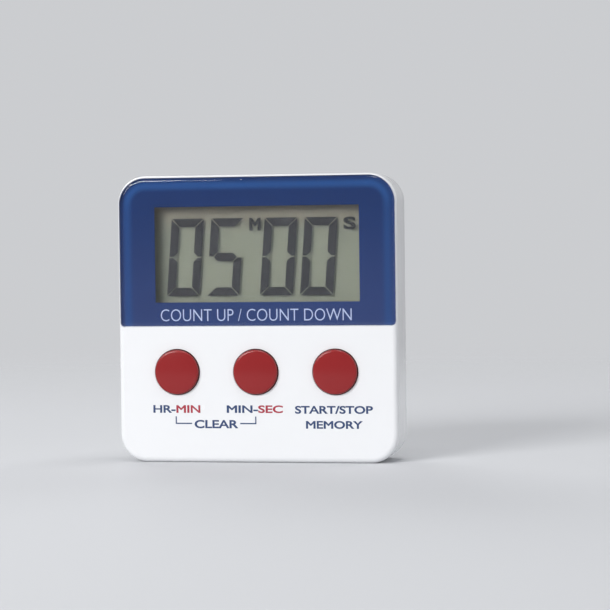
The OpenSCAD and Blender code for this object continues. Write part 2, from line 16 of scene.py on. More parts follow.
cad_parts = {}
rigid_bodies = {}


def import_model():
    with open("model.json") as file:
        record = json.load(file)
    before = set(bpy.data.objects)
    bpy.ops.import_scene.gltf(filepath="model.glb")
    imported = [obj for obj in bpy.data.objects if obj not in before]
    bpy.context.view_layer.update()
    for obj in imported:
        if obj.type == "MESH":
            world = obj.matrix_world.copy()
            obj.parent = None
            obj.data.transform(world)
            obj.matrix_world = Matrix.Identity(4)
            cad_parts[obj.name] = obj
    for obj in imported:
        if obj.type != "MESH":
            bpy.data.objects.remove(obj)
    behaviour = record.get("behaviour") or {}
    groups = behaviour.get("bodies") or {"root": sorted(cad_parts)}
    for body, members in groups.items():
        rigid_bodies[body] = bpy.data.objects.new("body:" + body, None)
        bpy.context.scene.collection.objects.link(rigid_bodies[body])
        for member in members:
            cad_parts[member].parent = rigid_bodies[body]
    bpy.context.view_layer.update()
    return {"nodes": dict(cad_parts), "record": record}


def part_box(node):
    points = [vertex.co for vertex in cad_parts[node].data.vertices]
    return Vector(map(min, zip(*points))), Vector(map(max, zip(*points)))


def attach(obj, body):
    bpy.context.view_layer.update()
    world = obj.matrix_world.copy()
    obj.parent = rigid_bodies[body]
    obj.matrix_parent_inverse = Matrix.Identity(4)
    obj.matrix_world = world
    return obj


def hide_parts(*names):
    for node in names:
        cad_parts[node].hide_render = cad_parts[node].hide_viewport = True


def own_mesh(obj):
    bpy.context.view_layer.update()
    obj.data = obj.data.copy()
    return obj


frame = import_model()
mm = 0.001

# %% [markdown]
# ## Where things are
# Lengths are written in millimetres and turned into Blender's metres at the last moment. The depths
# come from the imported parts: y grows towards the back, and the smallest y is the face that the cook
# sees.

# %% Depths and places from the frame
def box_mm(node):
    """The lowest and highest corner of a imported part, in mm."""
    low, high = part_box(node)
    return low / mm, high / mm


case_low, case_high = box_mm("front_case")
lens_low, lens_high = box_mm("display_lens")
mask_low, mask_high = box_mm("lens_mask")
back_y = box_mm("rear_case")[1].y
face_y = case_low.y
parting_y = case_high.y
foot_z = case_low.z
cap_low, cap_high = box_mm("hour_button")
button_at = {}
for node in ("hour_button", "minute_button", "start_button"):
    low, high = box_mm(node)
    button_at[node] = (low.x + high.x) / 2
print("face at y", round(face_y, 2), "buttons at x", [round(x, 1) for x in button_at.values()])

# %% [markdown]
# ## The camera
# The timer is seen from about half a metre, a little from its right and a little from above, with a
# long lens so that its edges stay nearly parallel. The camera is leaned over by less than a degree.

# %% Place the camera
view_yaw, view_pitch, view_roll = (math.radians(a) for a in (10.57, 1.85, -0.71))
view_target = Vector((11.32, face_y, 3.12)) * mm
view_distance = 0.502
focal_length = 130.5
nearest_seen = 0.01
back = Vector((
    math.sin(view_yaw) * math.cos(view_pitch),
    -math.cos(view_yaw) * math.cos(view_pitch),
    math.sin(view_pitch),
))
level = Vector((0, 0, 1)).cross(back).normalized()
rise = back.cross(level)
right = math.cos(view_roll) * level + math.sin(view_roll) * rise
up = math.cos(view_roll) * rise - math.sin(view_roll) * level
lens_data = bpy.data.cameras.new("camera")
lens_data.lens = focal_length
lens_data.clip_start = nearest_seen
camera = bpy.data.objects.new("camera", lens_data)
camera.matrix_world = Matrix.Translation(view_target + view_distance * back) @ Matrix(
    (right, up, back)).transposed().to_4x4()
bpy.context.scene.collection.objects.link(camera)
bpy.context.scene.camera = camera
print("camera at", [round(v, 3) for v in camera.matrix_world.translation])

# %% [markdown]
# ## The studio
# A glossy white case needs something to reflect: one big soft light high on the left gives the face
# its even white, a strip overhead draws the bright line along the top edge, and a weak light on the
# right keeps the side wall grey. Two more light the back for the views from behind. The room looks
# pale to the camera but lights the timer only half as much, so that the shapes keep their shading.
# A ray from the display's foil to a light goes through many clear layers, so the scene allows more
# bounces than Blender's own settings do.

# %% Lights
def softbox(name, place, size, watts, tint):
    """An area light at a place in metres, turned towards the timer."""
    data = bpy.data.lights.new(name, "AREA")
    data.shape = "RECTANGLE"
    data.size, data.size_y = size
    data.energy = watts
    data.color = tint
    light = bpy.data.objects.new(name, data)
    light.location = place
    light.rotation_euler = (-Vector(place)).to_track_quat("-Z", "Y").to_euler()
    bpy.context.scene.collection.objects.link(light)


white = (1, 1, 1)
cool_white = (0.96, 0.94, 1.0)
for name, place, size, watts, tint in (
    ("key_light", (-0.55, -1.0, 0.5), (0.55, 0.45), 11.5, white),
    ("top_strip", (0.12, -0.08, 0.75), (0.6, 0.15), 1.8, white),
    ("right_fill", (0.95, -0.35, 0.25), (0.5, 0.7), 0.6, cool_white),
    ("back_left", (-0.6, 0.9, 0.55), (0.7, 0.5), 4.5, white),
    ("back_right", (0.75, 0.8, 0.4), (0.5, 0.6), 2.5, white),
):
    softbox(name, place, size, watts, tint)

# %% Room
lit_by, seen_as = (0.30, 0.305, 0.315, 1), (0.60, 0.61, 0.63, 1)
room = bpy.data.worlds.new("room")
room.use_nodes = True
room_tree = room.node_tree
room_ray = room_tree.nodes.new("ShaderNodeLightPath")
room_colour = room_tree.nodes.new("ShaderNodeMix")
room_colour.data_type = "RGBA"
room_colour.inputs["A"].default_value = lit_by
room_colour.inputs["B"].default_value = seen_as
room_tree.links.new(room_ray.outputs["Is Camera Ray"], room_colour.inputs["Factor"])
room_tree.links.new(room_colour.outputs["Result"],
                    room_tree.nodes["Background"].inputs["Color"])
scene = bpy.context.scene
scene.world = room
scene.view_settings.view_transform = "Standard"
scene.cycles.max_bounces = 16
scene.cycles.transmission_bounces = 16
scene.cycles.transparent_max_bounces = 32
print("room lights the timer with", lit_by[:3], "and is seen as", seen_as[:3])

# %% [markdown]
# ## Small tools for modelling
# Every hand-made part below goes through the same moves: add a primitive, choose some faces or
# edges by where they are, work on them in edit mode, then finish with modifiers. These helpers keep
# those moves short. Blender's operators act on whatever is selected, so each one starts by
# selecting nothing.

# %% Add a primitive
def object_mode():
    bpy.ops.object.mode_set(mode="OBJECT")


def deselect():
    if bpy.context.object and bpy.context.object.mode != "OBJECT":
        object_mode()
    bpy.ops.object.select_all(action="DESELECT")


def activate(piece):
    deselect()
    piece.select_set(True)
    bpy.context.view_layer.objects.active = piece


def edit_all():
    """Opens the active piece in edit mode with all of it selected."""
    bpy.ops.object.mode_set(mode="EDIT")
    bpy.ops.mesh.select_all(action="SELECT")


def named(name):
    """Names the new primitive and moves its place into its mesh."""
    piece = bpy.context.object
    piece.name = piece.data.name = name
    bpy.ops.object.transform_apply(location=True, rotation=True, scale=True)
    return piece


def block(name, low, high):
    """A box from its low corner to its high corner, in mm."""
    deselect()
    low, high = Vector(low) * mm, Vector(high) * mm
    bpy.ops.mesh.primitive_cube_add(size=1, location=(low + high) / 2, scale=high - low)
    return named(name)


def rod(name, y0, y1, radius, x, z, sides=96):
    """A round rod along y, in mm."""
    deselect()
    bpy.ops.mesh.primitive_cylinder_add(
        vertices=sides, radius=radius * mm, depth=(y1 - y0) * mm,
        location=(x * mm, (y0 + y1) / 2 * mm, z * mm), rotation=(math.pi / 2, 0, 0))
    return named(name)


print("blocks and rods ready")

# %% Choose faces and edges
def choose(piece, kind, test):
    """Opens a piece in edit mode with only the edges or faces that pass the test selected."""
    activate(piece)
    bpy.ops.object.mode_set(mode="EDIT")
    bpy.ops.mesh.select_mode(type=kind)
    bpy.ops.mesh.select_all(action="DESELECT")
    mesh = bmesh.from_edit_mesh(piece.data)
    parts = mesh.edges if kind == "EDGE" else mesh.faces
    found = [part for part in parts if test([v.co / mm for v in part.verts])]
    for part in found:
        part.select_set(True)
    bmesh.update_edit_mesh(piece.data)
    return len(found)


def along_y(points):
    """True for an edge that runs along y."""
    span = points[0] - points[1]
    return abs(span.y) > 0.01 and abs(span.x) < 1e-3 and abs(span.z) < 1e-3


def at_depth(y):
    """A test for edges or faces that lie at one depth."""
    return lambda points: all(abs(p.y - y) < 1e-3 for p in points)


print("tests for edges and faces ready")

# %% Bevel, join and cut
def bevel(piece, width, segments, test):
    """Rounds the edges that pass the test."""
    count = choose(piece, "EDGE", test)
    if count:
        bpy.ops.mesh.bevel(offset=width * mm, segments=segments, affect="EDGES")
    object_mode()
    return piece


def merge(pieces):
    """Puts several meshes into one object."""
    activate(pieces[0])
    for piece in pieces:
        piece.select_set(True)
    bpy.ops.object.join()
    return pieces[0]


def combine(piece, tools, operation):
    """Cuts tools out of a piece, or adds them to it."""
    tool = merge(tools)
    activate(piece)
    change = piece.modifiers.new("combine", "BOOLEAN")
    change.operation = operation
    change.solver = "EXACT"
    change.object = tool
    bpy.ops.object.modifier_apply(modifier=change.name)
    bpy.data.objects.remove(tool)
    return piece


def cut(piece, *tools):
    return combine(piece, list(tools), "DIFFERENCE")


def add(piece, *tools):
    return combine(piece, list(tools), "UNION")


def rounded_block(name, low, high, radii, segments=16):
    """A box whose edges along y are rounded, with one radius above and one below."""
    piece = block(name, low, high)
    middle = (low[2] + high[2]) / 2
    for above, radius in zip((True, False), radii):
        if radius:
            bevel(piece, radius, segments, lambda p: along_y(p) and (p[0].z > middle) == above)
    return piece


print("bevels and cuts ready")

# %% Break the edges and shade
def break_edges(piece, width, segments=2, angle=35):
    """Takes the sharpness off every hard edge, as a mould does."""
    activate(piece)
    change = piece.modifiers.new("break", "BEVEL")
    change.width = width * mm
    change.segments = segments
    change.limit_method = "ANGLE"
    change.angle_limit = math.radians(angle)
    change.use_clamp_overlap = True
    bpy.ops.object.modifier_apply(modifier=change.name)
    return piece


def smooth(piece, angle=35):
    """Shades round stretches as round and keeps the flats flat."""
    activate(piece)
    bpy.ops.object.shade_smooth_by_angle(angle=math.radians(angle))
    change = piece.modifiers.new("flats", "WEIGHTED_NORMAL")
    change.keep_sharp = True
    bpy.ops.object.modifier_apply(modifier=change.name)
    return piece


print("finishing tools ready")

# %% [markdown]
# ## Shared surface effects
# Moulded plastic is never one flat colour: its gloss changes in soft patches, its skin has a very
# fine grain, and handling leaves faint smears. Several finishes need the same effects, so each is
# built once as a node group that gives out a height or a mask, and each material places it with its
# own strength.

# %% Helpers for node groups
def effect(name, inputs, outputs):
    """An empty node group with float inputs and outputs, and its two ends."""
    group = bpy.data.node_groups.new(name, "ShaderNodeTree")
    kind = "NodeSocketFloat"
    for label, value in inputs.items():
        socket = group.interface.new_socket(label, in_out="INPUT", socket_type=kind)
        socket.default_value = value
    for label in outputs:
        group.interface.new_socket(label, in_out="OUTPUT", socket_type=kind)
    return group, group.nodes.new("NodeGroupInput"), group.nodes.new("NodeGroupOutput")


def own_place(tree):
    """The place of a point on its own piece, in metres, which moves with the piece."""
    return tree.nodes.new("ShaderNodeTexCoord").outputs["Object"]


def own_axis(tree, axis):
    """One of the three coordinates of that place."""
    axes = tree.nodes.new("ShaderNodeSeparateXYZ")
    tree.links.new(own_place(tree), axes.inputs["Vector"])
    return axes.outputs[axis]


def noise(tree, scale, detail, place):
    """A noise texture whose scale is an input of the group."""
    texture = tree.nodes.new("ShaderNodeTexNoise")
    texture.inputs["Detail"].default_value = detail
    tree.links.new(scale, texture.inputs["Scale"])
    tree.links.new(place, texture.inputs["Vector"])
    return texture.outputs["Fac"]


def spread(tree, value, low, high, to_low, to_high):
    """Stretches a range of values over another."""
    node = tree.nodes.new("ShaderNodeMapRange")
    node.interpolation_type = "SMOOTHSTEP"
    ends = {"From Min": low, "From Max": high, "To Min": to_low, "To Max": to_high}
    for label, number in ends.items():
        node.inputs[label].default_value = number
    tree.links.new(value, node.inputs["Value"])
    return node.outputs["Result"]


def calculate(tree, operation, *values):
    """A Math or Vector Math node: names that start with V_ are vector operations."""
    vector = operation.startswith("V_")
    node = tree.nodes.new("ShaderNodeVectorMath" if vector else "ShaderNodeMath")
    node.operation = operation[2:] if vector else operation
    for socket, value in zip(node.inputs, values):
        if hasattr(value, "node"):
            tree.links.new(value, socket)
        else:
            socket.default_value = value
    gives_vector = vector and operation != "V_LENGTH"
    return node.outputs["Vector" if gives_vector else "Value"]


print("node helpers ready")

# %% Moulded skin, smears and turning rings
skin, skin_in, skin_out = effect(
    "moulded_skin", {"Grain": 2500, "Patches": 60}, ["Height", "Cloud"])
for size, detail, result in (("Grain", 3, "Height"), ("Patches", 2, "Cloud")):
    texture = noise(skin, skin_in.outputs[size], detail, own_place(skin))
    skin.links.new(texture, skin_out.inputs[result])

smears, smears_in, smears_out = effect("handling_smears", {"Size": 90}, ["Mask"])
stretch = smears.nodes.new("ShaderNodeMapping")
stretch.inputs["Rotation"].default_value = (0.0, 0.6, 0.0)
stretch.inputs["Scale"].default_value = (1, 1, 0.25)
smears.links.new(own_place(smears), stretch.inputs["Vector"])
streaks = noise(smears, smears_in.outputs["Size"], 2, stretch.outputs["Vector"])
clean_to, smeared_from = 0.35, 0.85
mask = spread(smears, streaks, clean_to, smeared_from, 0, 1)
smears.links.new(mask, smears_out.inputs["Mask"])

rings, rings_in, rings_out = effect("turning_rings", {"Pitch": 4000, "Height": 0.0}, ["Rings"])
wave = rings.nodes.new("ShaderNodeTexWave")
wave.wave_type = "RINGS"
wave.rings_direction = "Y"
wave.inputs["Distortion"].default_value = 1.2
centred = rings.nodes.new("ShaderNodeMapping")
lift = rings.nodes.new("ShaderNodeCombineXYZ")
for source, target in (
    (rings_in.outputs["Height"], lift.inputs["Z"]),
    (lift.outputs["Vector"], centred.inputs["Location"]),
    (own_place(rings), centred.inputs["Vector"]),
    (centred.outputs["Vector"], wave.inputs["Vector"]),
    (rings_in.outputs["Pitch"], wave.inputs["Scale"]),
    (wave.outputs["Fac"], rings_out.inputs["Rings"]),
):
    rings.links.new(source, target)
print("effects:", [g.name for g in bpy.data.node_groups])

# %% [markdown]
# ## Moulded plastic and printed ink
# One function makes every plastic: a colour that drifts a little, a gloss that follows the same
# soft patches and is dulled by smears, and a grain that is only a few thousandths of a millimetre
# high. Glossy parts get a shallower grain than matt ones.

# %% Materials and colours
def material(name, **plain):
    """A material with its Principled shader and the plain values set on its own sockets."""
    made = bpy.data.materials.new(name)
    made.use_nodes = True
    shader = made.node_tree.nodes["Principled BSDF"]
    for label, value in plain.items():
        shader.inputs[label.replace("_", " ").title().replace("Ior", "IOR")].default_value = value
    return made, made.node_tree, shader


def place_effect(tree, group, **values):
    node = tree.nodes.new("ShaderNodeGroup")
    node.node_tree = group
    for label, value in values.items():
        node.inputs[label.title()].default_value = value
    return node


def blend_colours(tree, factor, first, second):
    """Goes from one colour to another. A colour is three numbers or another node's output."""
    mix = tree.nodes.new("ShaderNodeMix")
    mix.data_type = "RGBA"
    tree.links.new(factor, mix.inputs["Factor"])
    for label, colour in (("A", first), ("B", second)):
        if hasattr(colour, "node"):
            tree.links.new(colour, mix.inputs[label])
        else:
            mix.inputs[label].default_value = (*colour, 1)
    return mix.outputs["Result"]


def drift(tree, cloud, colour, drop):
    """A colour that goes from itself to a slightly darker one with a cloudy value."""
    return blend_colours(tree, cloud, colour, [c * (1 - drop) for c in colour])


print("colour helpers ready")

# %% Colour, gloss and grain of a surface
cloud_low, cloud_high = 0.3, 0.7       # the noise seldom leaves this range


def cloudy_colour(tree, shader, surface, colour, drop):
    """Lets the colour follow the soft patches, from itself to a slightly darker one."""
    base = drift(tree, surface.outputs["Cloud"], colour, drop)
    tree.links.new(base, shader.inputs["Base Color"])


def cloudy_gloss(tree, shader, surface, gloss):
    """Lets the roughness follow the soft patches, from the lowest value to the highest."""
    roughness = spread(tree, surface.outputs["Cloud"], cloud_low, cloud_high, *gloss)
    tree.links.new(roughness, shader.inputs["Roughness"])


def raise_surface(tree, shader, height, depth):
    """Feeds a height to the surface as a bump of a depth in mm."""
    bump = tree.nodes.new("ShaderNodeBump")
    bump.inputs["Distance"].default_value = depth * mm
    tree.links.new(height, bump.inputs["Height"])
    tree.links.new(bump.outputs["Normal"], shader.inputs["Normal"])


print("surface helpers ready")

# %% Plastic
smear_share, dullest_at = 0.18, 1.0


def plastic(name, colour, gloss, grain=2500, depth=0.004, drop=0.03, patches=60, **plain):
    """A plastic or an ink. gloss is its lowest and highest roughness."""
    made, tree, shader = material(name, **plain)
    surface = place_effect(tree, skin, grain=grain, patches=patches)
    smear = place_effect(tree, smears)
    cloudy_colour(tree, shader, surface, colour, drop)
    dulled = calculate(tree, "MULTIPLY_ADD", smear.outputs["Mask"], smear_share,
                       surface.outputs["Cloud"])
    roughness = spread(tree, dulled, cloud_low, dullest_at, *gloss)
    tree.links.new(roughness, shader.inputs["Roughness"])
    raise_surface(tree, shader, surface.outputs["Height"], depth)
    return made


print("plastic ready")

# %% Plastic finishes
white_shell = plastic(
    "white_shell", (0.865, 0.872, 0.885), (0.20, 0.32), depth=0.003, drop=0.02)
stand_white = plastic("stand_white", (0.74, 0.75, 0.77), (0.38, 0.5), grain=3500, depth=0.008)
cap_red = plastic(
    "cap_red", (0.293, 0.017, 0.0185), (0.14, 0.22), depth=0.001, drop=0.08,
    specular_ior_level=0.4)
knob_black = plastic("knob_black", (0.02, 0.02, 0.022), (0.35, 0.5), depth=0.006)
frame_white = plastic("frame_white", (0.66, 0.67, 0.66), (0.4, 0.55), depth=0.01)
tape_grey = plastic("tape_grey", (0.5, 0.5, 0.5), (0.7, 0.85), grain=900, depth=0.02)
silicone = plastic("silicone", (0.42, 0.44, 0.46), (0.5, 0.65), subsurface_weight=0.1)
epoxy_black = plastic(
    "epoxy_black", (0.012, 0.012, 0.013), (0.15, 0.3), grain=400, depth=0.02)
carbon_black = plastic(
    "carbon_black", (0.015, 0.015, 0.016), (0.7, 0.9), grain=1800, depth=0.01)
part_black = plastic("part_black", (0.02, 0.02, 0.02), (0.45, 0.6), depth=0.006)
ceramic_tan = plastic(
    "ceramic_tan", (0.45, 0.30, 0.17), (0.4, 0.55), grain=1500, depth=0.01, drop=0.15)
sounder_white = plastic(
    "sounder_white", (0.72, 0.71, 0.68), (0.45, 0.6), grain=1200, depth=0.008)
wire_red = plastic("wire_red", (0.45, 0.02, 0.02), (0.35, 0.5))
wire_black = plastic("wire_black", (0.015, 0.015, 0.015), (0.35, 0.5))
print("plastics:", len(bpy.data.materials))

# %% Ink and liquid crystal
ink = {"gloss": (0.4, 0.55), "patches": 300}
navy_ink = plastic("navy_ink", (0.018, 0.052, 0.16), depth=0.002, drop=0.15, **ink)
red_ink = plastic("red_ink", (0.42, 0.022, 0.05), depth=0.002, drop=0.15, **ink)
pale_ink = plastic(
    "pale_ink", (0.46, 0.525, 0.70), depth=0.001, drop=0.06, specular_ior_level=0.0, **ink)
segment_black = plastic(
    "segment_black", (0.012, 0.012, 0.016), (0.5, 0.6), depth=0.001, drop=0.12, patches=120,
    specular_ior_level=0.1)
print("plastics and inks:", len(bpy.data.materials))

# %% [markdown]
# ## Metal
# Plated steel, nickel, brass and copper differ in colour and in the marks that their making leaves:
# rolled sheet has soft cloudy stains, and turned or ground faces have fine rings. The magnet is
# pressed ferrite, ground flat, so it is grey, dull and a little sparkling.

# %% Metals
stain_drop = 0.15
scratch_depth = 0.002


def metal(name, colour, gloss, pitch=0, centre_z=0.0):
    """A stained metal. With a pitch it also has turning rings round a centre at a height in mm."""
    made, tree, shader = material(name, metallic=1.0)
    surface = place_effect(tree, skin, grain=1600, patches=220)
    cloudy_colour(tree, shader, surface, colour, stain_drop)
    cloudy_gloss(tree, shader, surface, gloss)
    height = surface.outputs["Height"]
    if pitch:
        height = place_effect(tree, rings, pitch=pitch, height=-centre_z * mm).outputs["Rings"]
    raise_surface(tree, shader, height, scratch_depth)
    return made


plated_steel = metal("plated_steel", (0.62, 0.61, 0.58), (0.22, 0.38))
screw_steel = metal("screw_steel", (0.50, 0.50, 0.50), (0.28, 0.42))
can_nickel = metal("can_nickel", (0.60, 0.58, 0.54), (0.15, 0.3))
switch_tin = metal("switch_tin", (0.66, 0.66, 0.65), (0.25, 0.4))
brass = metal("brass", (0.62, 0.43, 0.16), (0.2, 0.4), pitch=1500, centre_z=14)
gold_pad = metal("gold_pad", (0.75, 0.52, 0.20), (0.2, 0.35))
copper_coil = metal("copper_coil", (0.50, 0.22, 0.11), (0.3, 0.45))

magnet_grey, magnet_tree, magnet_shader = material("magnet_grey", metallic=0.6)
ferrite_grey, speckle, ground_gloss, pore_depth = (0.085, 0.083, 0.085), 0.4, (0.38, 0.55), 0.01
ferrite = place_effect(magnet_tree, skin, grain=2600, patches=500)
ground = place_effect(magnet_tree, rings, pitch=900)
cloudy_colour(magnet_tree, magnet_shader, ferrite, ferrite_grey, speckle)
magnet_tree.links.new(spread(magnet_tree, ground.outputs["Rings"], 0, 1, *ground_gloss),
                      magnet_shader.inputs["Roughness"])
raise_surface(magnet_tree, magnet_shader, ferrite.outputs["Height"], pore_depth)
print("metals done")

# %% [markdown]
# ## The blue print
# The blue is ink on the back of the lens. Daylight gets into the lens through its rounded rim and
# lights the ink just inside it, so a brighter band follows the top and the two sides. That band is
# painted light: a lighter blue mixed into the ink's colour. The ink is also painted lighter towards
# the bottom, as a painted reflection. How far a point is from the rim is worked out from its
# coordinates, with the same rounded rectangle that the lens is made from.

# %% Distance from a rounded outline
def rim_distance(tree, low, high, radius):
    """How far, in mm, a point is inside a rounded rectangle. Its low and high corners are
    (x, z) in mm."""
    half = ((high[0] - low[0]) / 2 - radius, 0, (high[1] - low[1]) / 2 - radius)
    middle = ((high[0] + low[0]) / 2 * mm, 0, (high[1] + low[1]) / 2 * mm)
    place = calculate(tree, "V_SUBTRACT", own_place(tree), middle)
    place = calculate(tree, "V_MULTIPLY", place, (1 / mm, 0, 1 / mm))
    over = calculate(tree, "V_SUBTRACT", calculate(tree, "V_ABSOLUTE", place), half)
    outside = calculate(tree, "V_LENGTH", calculate(tree, "V_MAXIMUM", over, (0, 0, 0)))
    axes = tree.nodes.new("ShaderNodeSeparateXYZ")
    tree.links.new(over, axes.inputs["Vector"])
    nearest = calculate(tree, "MAXIMUM", axes.outputs["X"], axes.outputs["Z"])
    within = calculate(tree, "MINIMUM", nearest, 0.0)
    return calculate(tree, "SUBTRACT", radius, calculate(tree, "ADD", outside, within))


print("rim distance ready")

# %% Blue ink
blue_print, blue_tree, blue_shader = material(
    "blue_print", specular_ior_level=0.0, roughness=0.6)
lens_outline_r = 6.0
deep_blue = (0.0135, 0.0345, 0.122)
painted_reflection_blue = (0.0285, 0.0485, 0.142)
painted_glow_blue = (0.021, 0.072, 0.225)
blue_cloud = place_effect(blue_tree, skin, patches=40).outputs["Cloud"]
from_rim = rim_distance(
    blue_tree, (lens_low.x, case_low.z), (lens_high.x, lens_high.z), lens_outline_r)
blue_height = own_axis(blue_tree, "Z")
glow_rise, glow_fall = (0.4, 1.7), (1.8, 3.3)          # mm inside the rim
top_from, top_to, side_share = 0.024, 0.030, 0.55      # the sides glow less than the top
# painted light: a brighter blue band is painted just inside the rim, weaker at the sides than at the
# top
glow = calculate(blue_tree, "MULTIPLY", spread(blue_tree, from_rim, *glow_rise, 0, 1),
                 spread(blue_tree, from_rim, *glow_fall, 1, 0))
glow = calculate(blue_tree, "MULTIPLY", glow,
                 spread(blue_tree, blue_height, top_from, top_to, side_share, 1))
# painted reflection: the blue is painted lighter towards the bottom of the lens
blue_with_painted_reflection = blend_colours(blue_tree, spread(blue_tree, blue_height, 0, top_to, 0, 1),
                           painted_reflection_blue, drift(blue_tree, blue_cloud, deep_blue, 0.08))
blue_tree.links.new(blend_colours(blue_tree, glow, blue_with_painted_reflection, painted_glow_blue),
                    blue_shader.inputs["Base Color"])
print("blue print done")

# %% [markdown]
# ## Lens, glass and films
# The lens is clear acrylic, so it bends light like glass, but its shadow has to let light through
# or the print behind it would turn black: the material is clear to shadow rays only. The display's
# glass and films are so thin that bending doesn't show, so they are nearly invisible sheets with a
# constant low alpha and a little gloss.

# %% Clear materials
clear_lens, lens_tree, lens_shader = material(
    "clear_lens", transmission_weight=1.0, ior=1.49, base_color=(0.97, 0.98, 1.0, 1))
lens_smear = place_effect(lens_tree, smears, size=70)
lens_roughness = spread(lens_tree, lens_smear.outputs["Mask"], 0, 1, 0.0, 0.03)
lens_tree.links.new(lens_roughness, lens_shader.inputs["Roughness"])
let_light_in = lens_tree.nodes.new("ShaderNodeMixShader")
see_through = lens_tree.nodes.new("ShaderNodeBsdfTransparent")
ray_kind = lens_tree.nodes.new("ShaderNodeLightPath")
for source, target in (
    (ray_kind.outputs["Is Shadow Ray"], let_light_in.inputs["Fac"]),
    (lens_shader.outputs["BSDF"], let_light_in.inputs[1]),
    (see_through.outputs["BSDF"], let_light_in.inputs[2]),
    (let_light_in.outputs["Shader"], lens_tree.nodes["Material Output"].inputs["Surface"]),
):
    lens_tree.links.new(source, target)


def thin_sheet(name, colour, alpha, rough):
    """A nearly invisible sheet."""
    made, tree, shader = material(name, alpha=alpha)
    surface = place_effect(tree, skin, grain=900, patches=50)
    cloudy_colour(tree, shader, surface, colour, 0.1)
    cloudy_gloss(tree, shader, surface, (rough, rough + 0.06))
    return made


display_glass = thin_sheet("display_glass", (0.30, 0.36, 0.30), 0.03, 0.05)
polariser_film = thin_sheet("polariser_film", (0.07, 0.07, 0.08), 0.10, 0.25)
print("clear materials done")

# %% [markdown]
# ## The display's reflector
# The grey-green ground of a liquid crystal display is a pearly foil behind the glass. It is full of
# tiny flakes, so close up it sparkles a little. It looks browner at the top, where less light reaches
# it; that is painted shade, a browner colour painted in towards the top.

# %% Reflector foil
reflector_foil, foil_tree, foil_shader = material("reflector_foil")
grey_green, painted_shade_brown = (0.202, 0.215, 0.143), (0.238, 0.197, 0.128)
shade_from_z, shade_to_z = 0.019, 0.026
flakes = place_effect(foil_tree, skin, grain=6000, patches=2200)
# painted shade: the foil is painted browner towards the top of the window
painted_shade_towards_top = spread(foil_tree, own_axis(foil_tree, "Z"), shade_from_z, shade_to_z, 0, 1)
foil_colour = blend_colours(
    foil_tree, painted_shade_towards_top, drift(foil_tree, flakes.outputs["Cloud"], grey_green, 0.10), painted_shade_brown)
foil_tree.links.new(foil_colour, foil_shader.inputs["Base Color"])
cloudy_gloss(foil_tree, foil_shader, flakes, (0.4, 0.55))
raise_surface(foil_tree, foil_shader, flakes.outputs["Height"], 0.004)
print("reflector done")

# %% [markdown]
# ## Finishes that have a pattern
# The circuit board has copper tracks under green lacquer, the rubber strip that feeds the display
# has thin dark layers, and the cell's sleeve has a plain band at its positive end. Each pattern is
# drawn from the part's own coordinates, so it stays on the part when it moves.

# %% Board, rubber strip and cell sleeve
def banded(name, pitch, edge, light, dark, gloss):
    """Two colours in straight bands across x."""
    made, tree, shader = material(name)
    bands = tree.nodes.new("ShaderNodeTexWave")
    bands.bands_direction = "X"
    bands.inputs["Scale"].default_value = pitch
    bands.inputs["Distortion"].default_value = 0.3
    tree.links.new(own_place(tree), bands.inputs["Vector"])
    crisp = spread(tree, bands.outputs["Fac"], edge - 0.08, edge + 0.08, 0, 1)
    tree.links.new(blend_colours(tree, crisp, light, dark), shader.inputs["Base Color"])
    cloudy_gloss(tree, shader, place_effect(tree, skin), gloss)
    raise_surface(tree, shader, bands.outputs["Fac"], 0.01)
    return made


board_green = banded(
    "board_green", 160, 0.78, (0.012, 0.10, 0.035), (0.03, 0.19, 0.07), (0.25, 0.4))
zebra_rubber = banded(
    "zebra_rubber", 700, 0.5, (0.55, 0.50, 0.50), (0.05, 0.05, 0.06), (0.6, 0.75))

sleeve, sleeve_tree, sleeve_shader = material("cell_sleeve")
sleeve_blue, plain_band = (0.03, 0.16, 0.26), (0.62, 0.63, 0.62)
blue_to, band_from = 0.0132, 0.0134
in_band = spread(sleeve_tree, own_axis(sleeve_tree, "X"), blue_to, band_from, 0, 1)
sleeve_tree.links.new(blend_colours(sleeve_tree, in_band, sleeve_blue, plain_band),
                      sleeve_shader.inputs["Base Color"])
sleeve_skin = place_effect(sleeve_tree, skin)
cloudy_gloss(sleeve_tree, sleeve_shader, sleeve_skin, (0.25, 0.38))
raise_surface(sleeve_tree, sleeve_shader, sleeve_skin.outputs["Height"], 0.003)
print("all materials:", len(bpy.data.materials))

# %% [markdown]
# ## Putting a piece in its place
# A finished piece gets its material and the body that it rides on, and the imported node that it
# stands for is hidden. The body comes from the imported record, so it can't disagree with it. The
# record's material slots go into a table as well, which picks the finish of each worked copy below.

# %% Tables from the record
body_of = {}
for body, members in frame["record"]["behaviour"]["bodies"].items():
    for member in members:
        body_of[member] = body
slot_of = {row["node"]: row["material_slot"] for row in frame["record"]["subparts"]}


def fit(piece, node, finish, stands_for=True):
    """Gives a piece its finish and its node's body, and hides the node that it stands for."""
    piece.data.materials.clear()
    piece.data.materials.append(finish)
    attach(piece, body_of[node])
    if stands_for:
        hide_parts(node)
    return piece


print("bodies:", sorted(set(body_of.values())))

# %% [markdown]
# ## The front shell
# The shell is one injection moulding. It starts as a block: its four corners get a large radius,
# its front rim a small one, and then it is hollowed from behind, deep below the display and shallow
# behind it. The recess for the lens is cut last, so that it runs out through the rounded rim and
# leaves only a thin white line round the lens.

# %% Front shell: outside and inside
corner_r = 6.5
rim_r = 1.3
wall = 1.6
rebate_depth = 1.1
display_wall_y = -11.7
shelf_z = -3
over = 1          # how far a cutting block reaches past what it cuts
shell = rounded_block("front_shell", case_low, case_high, (corner_r, corner_r), 20)
bevel(shell, rim_r, 8, at_depth(face_y))


